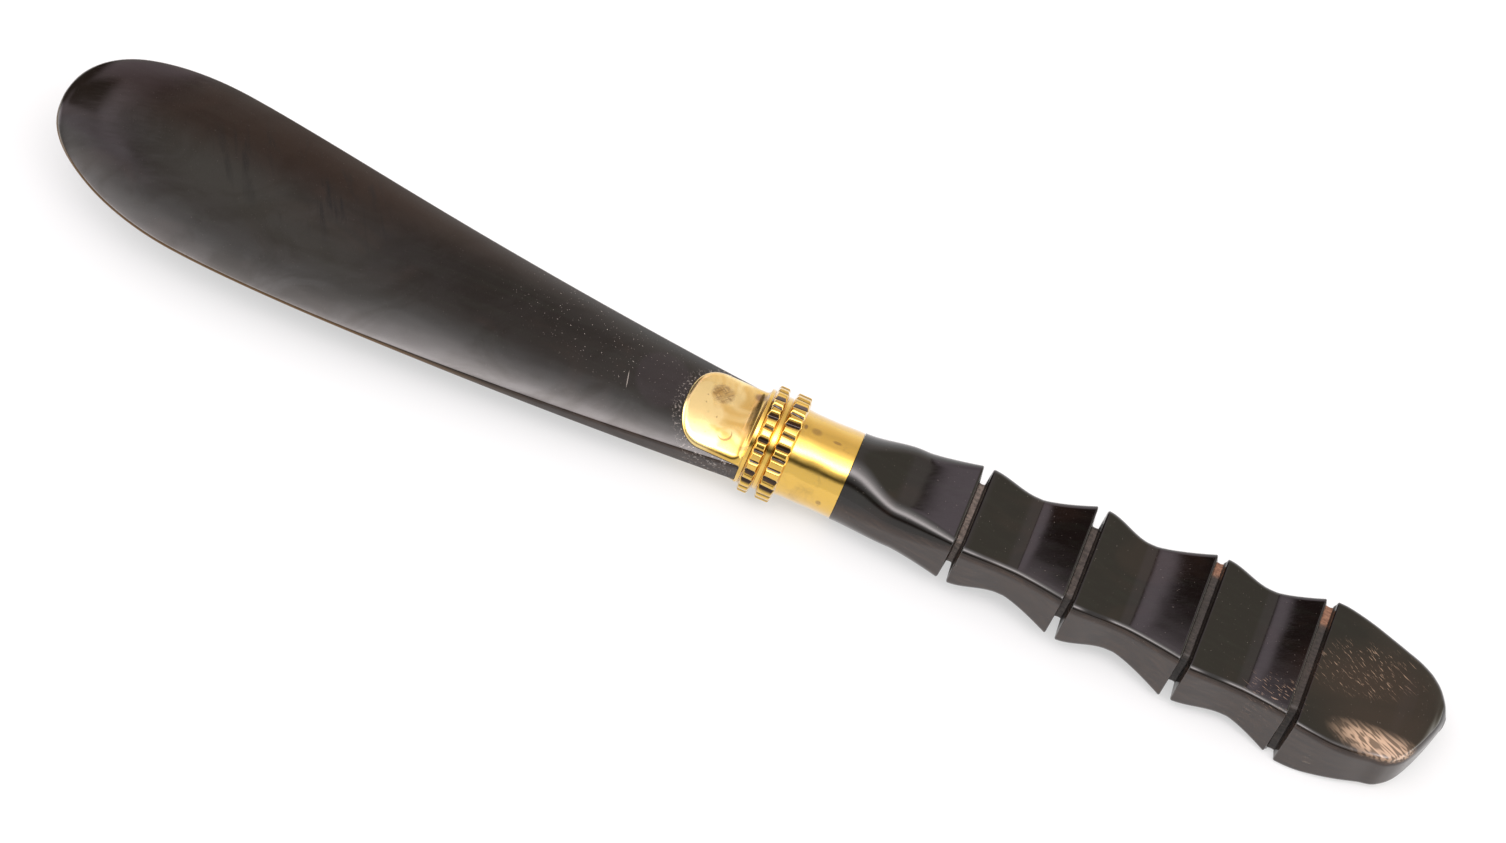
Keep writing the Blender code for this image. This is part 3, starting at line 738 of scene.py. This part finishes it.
class Nodes:
    """Short names for making a node tree."""

    def __init__(self, name):
        self.material = bpy.data.materials.new(name)
        self.material.use_nodes = True
        self.tree = self.material.node_tree
        self.shader = self.tree.nodes["Principled BSDF"]

    def put(self, kind, **values):
        node = self.tree.nodes.new(kind)
        for key, value in values.items():
            setattr(node, key, value)
        return node

    def link(self, source, target):
        self.tree.links.new(source, target)

    def coordinates(self):
        return self.put("ShaderNodeTexCoord").outputs["Object"]

    def noise(self, repeats, detail, roughness, distortion=0.0, turn=(0.0, 0.0, 0.0)):
        """Noise with so many repeats per metre along each axis, or along all of them, after the turn."""
        if isinstance(repeats, float):
            repeats = (repeats,) * 3
        place = self.put("ShaderNodeMapping", vector_type="TEXTURE")
        place.inputs["Scale"].default_value = [1.0 / number for number in repeats]
        place.inputs["Rotation"].default_value = turn
        self.link(self.coordinates(), place.inputs["Vector"])
        node = self.put("ShaderNodeTexNoise")
        node.inputs["Scale"].default_value = 1.0
        node.inputs["Detail"].default_value = detail
        node.inputs["Roughness"].default_value = roughness
        node.inputs["Distortion"].default_value = distortion
        self.link(place.outputs["Vector"], node.inputs["Vector"])
        return node.outputs["Fac"]

    def ramp(self, value, low, high, start=0.0, end=1.0, smooth=True):
        node = self.put("ShaderNodeMapRange")
        node.interpolation_type = "SMOOTHSTEP" if smooth else "LINEAR"
        for key, number in (("From Min", low), ("From Max", high), ("To Min", start), ("To Max", end)):
            node.inputs[key].default_value = number
        self.link(value, node.inputs["Value"])
        return node.outputs["Result"]

    def math(self, operation, *values):
        node = self.put("ShaderNodeMath", operation=operation)
        for socket, value in zip(node.inputs, values):
            if isinstance(value, (int, float)):
                socket.default_value = value
            else:
                self.link(value, socket)
        return node.outputs[0]

    def chain(self, operation, values):
        result = values[0]
        for value in values[1:]:
            result = self.math(operation, result, value)
        return result

    def times(self, *values):
        return self.chain("MULTIPLY", values)

    def plus(self, *values):
        return self.chain("ADD", values)

    def most(self, *values):
        return self.chain("MAXIMUM", values)

    def less(self, value, other):
        return self.math("SUBTRACT", value, other)

    def colour(self, factor, a, b, blend="MIX"):
        node = self.put("ShaderNodeMix", data_type="RGBA", blend_type=blend)
        for socket, value in ((node.inputs[0], factor), (node.inputs[6], a), (node.inputs[7], b)):
            if isinstance(value, (int, float)):
                socket.default_value = value
            elif isinstance(value, tuple):
                socket.default_value = (*value, 1.0)
            else:
                self.link(value, socket)
        return node.outputs[2]

    def patch(self, centre, size, turn, edge):
        """1 inside an ellipsoid placed on the knife, 0 outside."""
        node = self.put("ShaderNodeMapping", vector_type="TEXTURE")
        node.inputs["Location"].default_value = knife_to_world @ (Vector(centre) * MM)
        node.inputs["Rotation"].default_value = (0.0, 0.0, math.radians(turn))
        node.inputs["Scale"].default_value = Vector(size) * MM
        self.link(self.coordinates(), node.inputs["Vector"])
        length = self.put("ShaderNodeVectorMath", operation="LENGTH")
        self.link(node.outputs["Vector"], length.inputs[0])
        return self.ramp(length.outputs["Value"], 1.0 - edge, 1.0 + edge, 1.0, 0.0)

    def mask(self, channel):
        attribute = self.put("ShaderNodeAttribute", attribute_name="mask")
        split = self.put("ShaderNodeSeparateColor")
        self.link(attribute.outputs["Color"], split.inputs["Color"])
        return split.outputs[channel]

    def bump(self, height, distance, strength, normal=None):
        node = self.put("ShaderNodeBump")
        node.inputs["Strength"].default_value = strength
        node.inputs["Distance"].default_value = distance
        self.link(height, node.inputs["Height"])
        if normal is not None:
            self.link(normal, node.inputs["Normal"])
        return node.outputs["Normal"]


def horn_base(n):
    """Near-black horn with faint fibres and clouds, grained side faces, and amber where the rim is thin."""
    fibres = n.noise((60.0, 900.0, 900.0), 5.0, 0.6, 0.4, (0.0, 0.0, 0.05))
    clouds = n.noise((70.0, 110.0, 110.0), 3.0, 0.55, 0.6)
    colour = n.colour(n.ramp(fibres, 0.45, 0.75), HORN_DARK, HORN_GREENISH)
    colour = n.colour(n.ramp(clouds, 0.50, 0.72), colour, HORN_BROWN)
    grain = n.noise((150.0, 1400.0, 1800.0), 5.0, 0.65, 0.3, (0.0, 0.12, 0.0))
    side = n.colour(n.ramp(grain, 0.35, 0.75), HORN_SIDE_DARK, HORN_SIDE_PALE)
    colour = n.colour(n.mask("Blue"), colour, side)
    return n.colour(n.times(n.ramp(n.mask("Red"), 0.2, 0.95), 0.85), colour, HORN_AMBER)


def polish_marks(n, repeats_across):
    return n.noise((250.0, repeats_across, repeats_across), 4.0, 0.65, turn=POLISH_TURN)


def finish_horn(n, colour, rough, waviness):
    n.shader.inputs["IOR"].default_value = HORN_IOR
    n.link(colour, n.shader.inputs["Base Color"])
    n.link(rough, n.shader.inputs["Roughness"])
    normal = n.bump(n.noise((55.0, 130.0, 130.0), 2.0, 0.4), waviness, 0.6)
    normal = n.bump(polish_marks(n, 5200.0), 0.0000035, 0.6, normal)
    n.link(normal, n.shader.inputs["Normal"])
    return n.material


def blade_material():
    """Horn that is duller than the handle's, streaked near the tip and dusty towards the ferrule, with
    painted reflections and painted shade.
    """
    n = Nodes("blade_horn")
    colour = horn_base(n)
    # Two painted reflections, a light band along the middle and a purple-grey patch by the tongue, and a
    # brown tint.
    for patch, strength, tint in BLADE_TINTS_AND_REFLECTIONS:
        colour = n.colour(n.times(n.patch(*patch), strength), colour, tint)
    streaks = n.noise((620.0, 90.0, 90.0), 4.0, 0.6, 0.5, (0.0, 0.0, 0.5))
    streaks = n.times(n.ramp(streaks, 0.50, 0.72), n.patch(*BLADE_STREAKED))
    colour = n.colour(n.times(streaks, 0.9), colour, STREAK_COLOUR)
    specks = n.ramp(n.noise(3600.0, 1.0, 0.4), 0.725, 0.78)
    specks = n.times(specks, n.most(n.patch(*BLADE_DUSTY), 0.06))
    grit = n.ramp(n.noise(2300.0, 3.0, 0.6), 0.54, 0.68)
    residue = n.times(n.patch(*BLADE_RESIDUE), grit, 0.75)
    dust = n.most(specks, residue, n.times(n.patch(*BLADE_SCRATCH), 0.8))
    colour = n.colour(dust, colour, DUST_COLOUR)
    rough = n.ramp(polish_marks(n, 2600.0), 0.35, 0.8, 0.115, 0.21)
    rough = n.plus(rough, n.times(streaks, 0.12))
    # Painted shade in the specular tint over the middle of the blade and along its far edge, then mottle and
    # streaks.
    shine_and_shade = n.colour(n.times(n.patch(*BLADE_PAINTED_SHADE), 0.85), (1.0, 1.0, 1.0), (0.62, 0.60, 0.60))
    shine_and_shade = n.colour(n.patch(*BLADE_FAR_EDGE_SHADE), shine_and_shade, (0.58, 0.46, 0.40))
    mottle = n.ramp(n.noise((75.0, 120.0, 120.0), 4.0, 0.62, 0.9, (0.0, 0.0, 0.6)), 0.42, 0.66)
    shine_and_shade = n.colour(mottle, shine_and_shade, (0.80, 0.79, 0.77), "MULTIPLY")
    shine_and_shade = n.colour(n.times(streaks, 0.7), shine_and_shade, (0.5, 0.5, 0.5))
    n.link(shine_and_shade, n.shader.inputs["Specular Tint"])
    return finish_horn(n, colour, rough, 0.00022)


def handle_material():
    """Glossier horn, with dust in the kerfs and a butt that is brown, scratched, and pale in places with a
    painted sheen.
    """
    n = Nodes("handle_horn")
    colour = horn_base(n)
    brown = n.most(n.patch(*BUTT_BROWN), n.times(n.patch(*BUTT_BROWN_NEAR), 0.8))
    colour = n.colour(n.times(brown, 0.75), colour, BROWN_COLOUR)
    # The pale patch: fibrous horn with a painted sheen, in striations, only on the top.
    striations = n.noise((26.0, 2500.0, 2500.0), 0.0, 0.5, turn=(0.0, 0.0, STRIATION_TURN))
    on_top = n.less(1.0, n.mask("Blue"))
    pale = n.times(n.patch(*BUTT_PALE_SHEEN), n.ramp(striations, 0.40, 0.60, 0.30, 1.0), on_top)
    colour = n.colour(pale, colour, PALE_SHEEN_COLOUR)
    scratches = n.noise((380.0, 4200.0, 4200.0), 2.0, 0.5, turn=(0.0, 0.0, WEAR_TURN))
    worn = n.most(n.patch(*BUTT_WORN), n.patch(*SEGMENT_WORN))
    colour = n.colour(n.times(worn, n.ramp(scratches, 0.60, 0.70), 0.6), colour, WORN_COLOUR)
    flecks = n.ramp(n.noise((500.0, 900.0, 900.0), 5.0, 0.7), 0.58, 0.68)
    colour = n.colour(n.times(flecks, n.patch(*BUTT_FLECKED), 0.7), colour, FLECK_COLOUR)
    specks = n.ramp(n.noise(3300.0, 1.0, 0.4), 0.75, 0.80)
    colour = n.colour(n.times(specks, 0.5), colour, SPECK_COLOUR)
    grit = n.ramp(n.noise((900.0, 2600.0, 2600.0), 6.0, 0.7), 0.35, 0.65)
    dust, tan = (n.colour(grit, *pair) for pair in (KERF_DUST_COLOURS, KERF_TAN_COLOURS))
    colour = n.colour(n.mask("Green"), colour, n.colour(n.mask("Blue"), dust, tan))
    rough = n.ramp(polish_marks(n, 5200.0), 0.35, 0.8, 0.055, 0.15)
    rough = n.plus(rough, n.times(n.mask("Blue"), 0.12))
    rough = n.plus(rough, n.times(n.ramp(n.mask("Green"), 0.0, 0.1), 0.5))
    return finish_horn(n, colour, rough, 0.00016)


def brass_material(name):
    """Lacquered old brass: tarnish, spots, a tongue with painted sheen, a stain and a crescent, and dirt and
    painted shade.
    """
    n = Nodes(name)
    n.shader.inputs["Metallic"].default_value = 1.0
    n.shader.inputs["Coat Weight"].default_value = 1.0
    n.shader.inputs["Coat Roughness"].default_value = 0.06
    tarnish = n.noise(260.0, 5.0, 0.6, 0.5)
    colour = n.colour(n.ramp(tarnish, 0.5, 0.85), BRASS, BRASS_TARNISHED)
    tongue = n.patch(*TONGUE_AREA)
    # Painted sheen: the tongue is painted paler, in waves.
    pale = n.ramp(n.noise(190.0, 2.0, 0.5, 0.8), 0.36, 0.58)
    colour = n.colour(tongue, colour, n.colour(pale, *BRASS_PAINTED_SHEEN))
    spots = n.ramp(n.noise(1500.0, 3.0, 0.5), 0.68, 0.76)
    colour = n.colour(n.times(spots, 0.7), colour, BRASS_SPOT)
    weave = (n.noise((500.0, 4200.0, 4200.0), 2.0, 0.5, turn=(0.0, 0.0, turn)) for turn in (0.8, -0.7))
    marks = n.times(n.patch(*TONGUE_STAIN), n.ramp(n.most(*weave), 0.50, 0.62, 0.35, 0.8))
    crescent = n.less(*(n.patch(*patch) for patch in CRESCENT))
    marks = n.most(marks, n.times(n.most(crescent, 0.0), 0.8))
    for centre, size, strength in BRASS_MARKS:
        marks = n.most(marks, n.times(n.patch(centre, size, 0.0, 0.45), strength))
    # Stains, and painted shade in two corners where the tongue meets the ring.
    colour = n.colour(marks, colour, BRASS_STAIN_AND_SHADE)
    # Dirt and painted shade from the red mask.
    colour = n.colour(n.mask("Red"), colour, BRASS_DIRT_AND_SHADE)
    n.link(colour, n.shader.inputs["Base Color"])
    rough = n.plus(n.ramp(tarnish, 0.3, 0.8, 0.07, 0.18), n.times(n.mask("Red"), 0.45))
    rough = n.plus(rough, n.times(marks, 0.2), n.times(tongue, 0.12))
    n.link(rough, n.shader.inputs["Roughness"])
    normal = n.bump(n.noise(340.0, 2.0, 0.45), 0.00010, 0.5)
    lines = n.noise((900.0, 6000.0, 6000.0), 3.0, 0.6, turn=(0.0, 0.3, 0.5))
    normal = n.bump(lines, 0.000003, 0.6, normal)
    n.link(normal, n.shader.inputs["Normal"])
    return n.material


def plain_material(name, colour, roughness, metallic, grain):
    """For the hidden core: a base colour broken up by a fine grain."""
    n = Nodes(name)
    n.shader.inputs["Metallic"].default_value = metallic
    n.shader.inputs["Roughness"].default_value = roughness
    speck = n.noise(grain, 4.0, 0.6)
    darker = tuple(0.6 * channel for channel in colour)
    n.link(n.colour(n.ramp(speck, 0.4, 0.7), colour, darker), n.shader.inputs["Base Color"])
    n.link(n.bump(speck, 0.00005, 0.5), n.shader.inputs["Normal"])
    return n.material


def dress(obj, material, node):
    obj.data.materials.clear()
    obj.data.materials.append(material)
    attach(obj, "root")
    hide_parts(node)


blade_horn = blade_material()
handle_horn = handle_material()
brass = brass_material("worn_brass")
dress(make_blade(), blade_horn, "horn_blade")
dress(make_handle(), handle_horn, "horn_handle")
dress(make_sleeve(), brass, "ferrule_sleeve")
dress(make_ring("ring_front_surface", RING_FRONT, 3), brass, "milled_ring_front")
dress(make_ring("ring_rear_surface", RING_REAR, 3), brass, "milled_ring_rear")
dress(make_spacer(), brass, "spacer_ring")
dress(make_yoke(), brass, "tongue_yoke")
core = {
    "dowel_rod": plain_material("drawn_steel", (0.45, 0.45, 0.46), 0.4, 1.0, 900.0),
    "cement_fill": plain_material("resin_cement", (0.12, 0.06, 0.03), 0.7, 0.0, 1400.0),
}
for node, material in core.items():
    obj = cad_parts[node]
    obj.data.materials.clear()
    obj.data.materials.append(material)


# ---------------------------------------------------------------------------------------------
# Studio
# ---------------------------------------------------------------------------------------------

CAMERA_TILT = math.radians(57.0)
CAMERA_ROLL = math.radians(23.6)
CAMERA_DISTANCE = 0.900
CAMERA_LENS = 130.4
TARGET = (-0.83, 1.68, 1.09)

# Brightness of the room and of the soft box, as (alpha, level), where no level is over BRIGHTEST.
BRIGHTEST = 10.0
ROOM = (
    (-180.0, 1.0),
    (-40.0, 0.95),
    (-30.0, 0.90),
    (-25.0, 0.35),
    (-21.0, 0.10),
    (-17.0, 0.10),
    (-12.0, 0.45),
    (-8.0, 0.80),
    (40.0, 1.0),
    (60.0, 0.98),
    (80.0, 0.85),
    (100.0, 1.05),
    (125.0, 1.15),
    (180.0, 1.15),
)
KEY = (
    (-180.0, 0.0),
    (-7.0, 0.0),
    (-2.0, 0.8),
    (3.0, 4.0),
    (8.0, 8.0),
    (13.0, 8.0),
    (18.0, 5.8),
    (22.0, 3.8),
    (32.0, 1.7),
    (42.0, 0.5),
    (54.0, 0.0),
    (180.0, 0.0),
)
KEY_SWING = (-46.0, -22.0, 20.0, 44.0)
# Light and shade, as (window of swing, window of alpha, strength). A window is (start, full, full, end).
SIDE_LIGHT = ((-60.0, -34.0, -16.0, -9.0), (15.0, 35.0, 60.0, 68.0), 0.3)
GLOW = ((-12.0, -10.0, -7.0, -5.5), (50.0, 58.0, 72.0, 90.0), 0.45)
FLAG = ((-36.0, -30.0, -12.9, -11.0), (60.0, 67.5, 77.0, 88.0), 1.0)
CORNER_FLAG = ((-75.0, -60.0, -27.0, -19.0), (66.0, 82.0, 118.0, 130.0), 1.0)
SEAM = ((-5.8, -5.0, -4.4, -3.6), (50.0, 58.0, 100.0, 110.0), 0.8)
FLAG_DEPTH = 0.93
# Extra light from low at both ends of the knife, as windows of swing.
END_LIGHTS = ((-90.0, -75.0, -65.0, -46.0), (46.0, 65.0, 75.0, 90.0))
END_LIGHT = 3.0
# The room stops depending on alpha over this swing, because alpha has no meaning straight along the knife.
ROOM_FADE = (50.0, 72.0)
TINTED_ALPHA = (38.0, 56.0, 100.0, 118.0)
TINT_REST = (1.0, 0.99, 0.97)
TINT_LEFT = (1.12, 0.96, 1.06)
TINT_MIDDLE = (0.94, 0.86, 0.80)
TINT_RIGHT = (0.74, 0.70, 0.58)
TINT_KEY = (1.0, 0.92, 0.92)
FLOOR_COLOUR = (0.30, 0.305, 0.31, 1.0)
FLOOR_GLOW = 0.50

toward = Vector((0.0, -math.cos(CAMERA_TILT), math.sin(CAMERA_TILT)))
level_up = Vector((0.0, math.sin(CAMERA_TILT), math.cos(CAMERA_TILT)))
along = Vector((1.0, 0.0, 0.0))
right = math.cos(CAMERA_ROLL) * along + math.sin(CAMERA_ROLL) * level_up
up = -math.sin(CAMERA_ROLL) * along + math.cos(CAMERA_ROLL) * level_up


def in_world(direction):
    return knife_to_world.to_3x3() @ direction


def place_camera():
    data = bpy.data.cameras.new("camera")
    data.lens = CAMERA_LENS
    data.clip_start, data.clip_end = 0.01, 50.0
    camera = bpy.data.objects.new("camera", data)
    bpy.context.scene.collection.objects.link(camera)
    axes = Matrix((in_world(right), in_world(up), in_world(toward))).transposed().to_4x4()
    target = knife_to_world @ (Vector(TARGET) * MM)
    camera.matrix_world = Matrix.Translation(target + in_world(toward) * CAMERA_DISTANCE) @ axes
    bpy.context.scene.camera = camera


class Studio(Nodes):
    """The light that surrounds the knife, as a smooth function of direction.

    alpha is the angle above the camera's direction in the plane across the knife, and swing is the angle
    out of that plane towards the handle, both in degrees.
    """

    def __init__(self):
        self.world = bpy.data.worlds.new("studio")
        self.world.use_nodes = True
        self.tree = self.world.node_tree
        coordinates = self.put("ShaderNodeTexCoord").outputs["Generated"]
        near, rise, out = (self.dot(coordinates, in_world(axis)) for axis in (toward, level_up, along))
        self.alpha = self.math("MULTIPLY", self.math("ARCTAN2", rise, near), math.degrees(1.0))
        self.swing = self.math("MULTIPLY", self.math("ARCSINE", out), math.degrees(1.0))

    def dot(self, vector, axis):
        node = self.put("ShaderNodeVectorMath", operation="DOT_PRODUCT")
        self.link(vector, node.inputs[0])
        node.inputs[1].default_value = axis
        return node.outputs["Value"]

    def curve(self, stops):
        """Brightness along alpha, from (alpha, brightness) stops."""
        low, high = stops[0][0], stops[-1][0]
        node = self.put("ShaderNodeValToRGB")
        node.color_ramp.interpolation = "LINEAR"
        elements = node.color_ramp.elements
        while len(elements) < len(stops):
            elements.new(0.5)
        for element, (angle, level) in zip(elements, stops):
            element.position = (angle - low) / (high - low)
            element.color = (level / BRIGHTEST, level / BRIGHTEST, level / BRIGHTEST, 1.0)
        self.link(self.ramp(self.alpha, low, high, smooth=False), node.inputs["Fac"])
        return self.math("MULTIPLY", node.outputs["Color"], BRIGHTEST)

    def window(self, value, start, full, full_end, end):
        """1 between full and full_end, and 0 outside start and end."""
        return self.times(self.ramp(value, start, full), self.ramp(value, full_end, end, 1.0, 0.0))

    def area(self, swing, alpha, strength):
        return self.times(self.window(self.swing, *swing), self.window(self.alpha, *alpha), strength)


def light_studio():
    """A pale room with a soft box in front, dark flags behind, and light from low at both ends."""
    n = Studio()
    away = n.ramp(n.math("ABSOLUTE", n.swing), *ROOM_FADE)
    across = n.less(1.0, away)
    room = n.plus(n.times(n.curve(ROOM), across), away)
    dark = n.most(n.area(*FLAG), n.area(*CORNER_FLAG), n.area(*SEAM))
    ends = n.plus(*(n.window(n.swing, *window) for window in END_LIGHTS))
    lit = n.plus(1.0, n.area(*GLOW), n.times(ends, END_LIGHT))
    room = n.times(room, n.less(1.0, n.times(dark, FLAG_DEPTH)), lit)
    tint = n.colour(n.ramp(n.swing, -5.4, -3.8), TINT_LEFT, TINT_MIDDLE)
    tint = n.colour(n.ramp(n.swing, 4.0, 13.0), tint, TINT_RIGHT)
    tint = n.colour(n.times(n.window(n.alpha, *TINTED_ALPHA), across), TINT_REST, tint)
    room = n.colour(1.0, room, tint, "MULTIPLY")
    key = n.plus(n.times(n.curve(KEY), n.window(n.swing, *KEY_SWING)), n.area(*SIDE_LIGHT))
    key = n.colour(1.0, key, TINT_KEY, "MULTIPLY")
    n.link(n.colour(1.0, room, key, "ADD"), n.tree.nodes["Background"].inputs["Color"])
    bpy.context.scene.world = n.world


def make_floor():
    """A large pale disc that glows a little, like a light table, so that the knife's shadow stays faint."""
    rings, steps, reach = 24, 48, 6.0
    points = [(0.0, 0.0, 0.0)]
    for i in range(1, rings + 1):
        radius = reach * (i / rings) ** 2
        for j in range(steps):
            angle = 2.0 * math.pi * j / steps
            points.append((radius * math.cos(angle), radius * math.sin(angle), 0.0))
    faces = [(0, 1 + j, 1 + (j + 1) % steps) for j in range(steps)]
    for i in range(rings - 1):
        a, b = 1 + i * steps, 1 + (i + 1) * steps
        faces += [(a + j, b + j, b + (j + 1) % steps, a + (j + 1) % steps) for j in range(steps)]
    mesh = bpy.data.meshes.new("floor")
    mesh.from_pydata(points, [], faces)
    floor = bpy.data.objects.new("floor", mesh)
    n = Nodes("pale_floor")
    n.shader.inputs["Base Color"].default_value = FLOOR_COLOUR
    n.shader.inputs["Roughness"].default_value = 0.8
    n.shader.inputs["Specular IOR Level"].default_value = 0.1
    n.shader.inputs["Emission Color"].default_value = (1.0, 1.0, 1.0, 1.0)
    n.shader.inputs["Emission Strength"].default_value = FLOOR_GLOW
    mesh.materials.append(n.material)
    bpy.context.scene.collection.objects.link(floor)


place_camera()
make_floor()
light_studio()
bpy.context.scene.view_settings.view_transform = "Standard"
